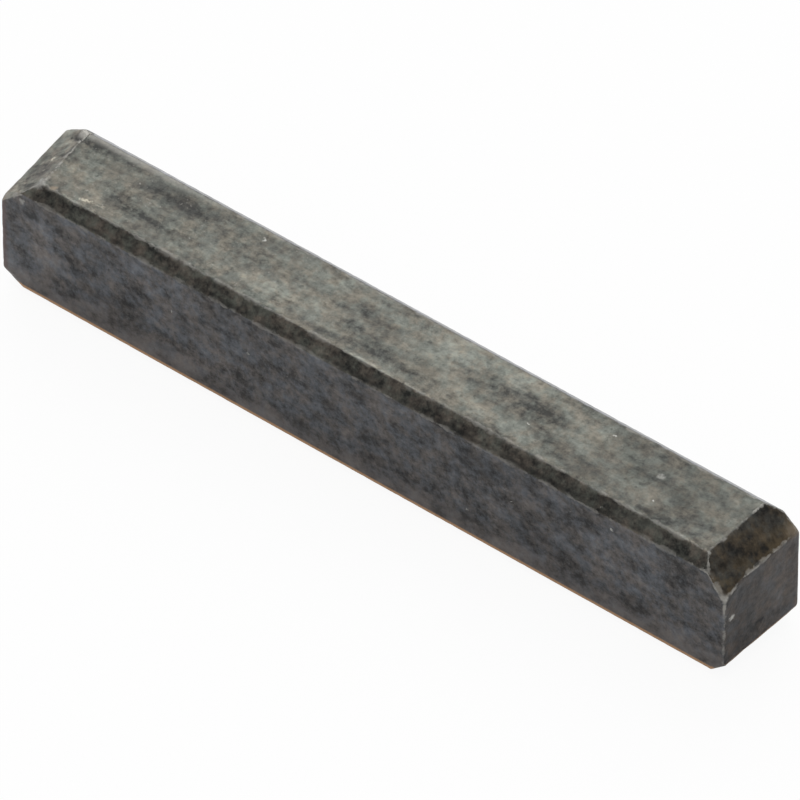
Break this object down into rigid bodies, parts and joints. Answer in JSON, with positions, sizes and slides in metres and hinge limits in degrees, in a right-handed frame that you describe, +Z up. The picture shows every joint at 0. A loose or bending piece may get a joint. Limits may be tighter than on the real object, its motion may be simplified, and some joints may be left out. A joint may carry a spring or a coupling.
{
  "type": "parallel key",
  "caption": "Rectangular steel key with broken long edges and bevelled ends, which locks a hub or pulley to a shaft.",
  "frame": {"origin": "middle of the narrow side that the key lies on", "axes": "+X along the key towards its right end, +Y from the front face to the back face, +Z up"},
  "size_m": [0.0381, 0.0048, 0.0063],
  "materials": {
    "key_steel": "plain steel with a worn, blackened and lightly oiled surface"
  },
  "bodies": {
    "root": {"parallel_key": "key_steel"}
  },
  "joints": []
}
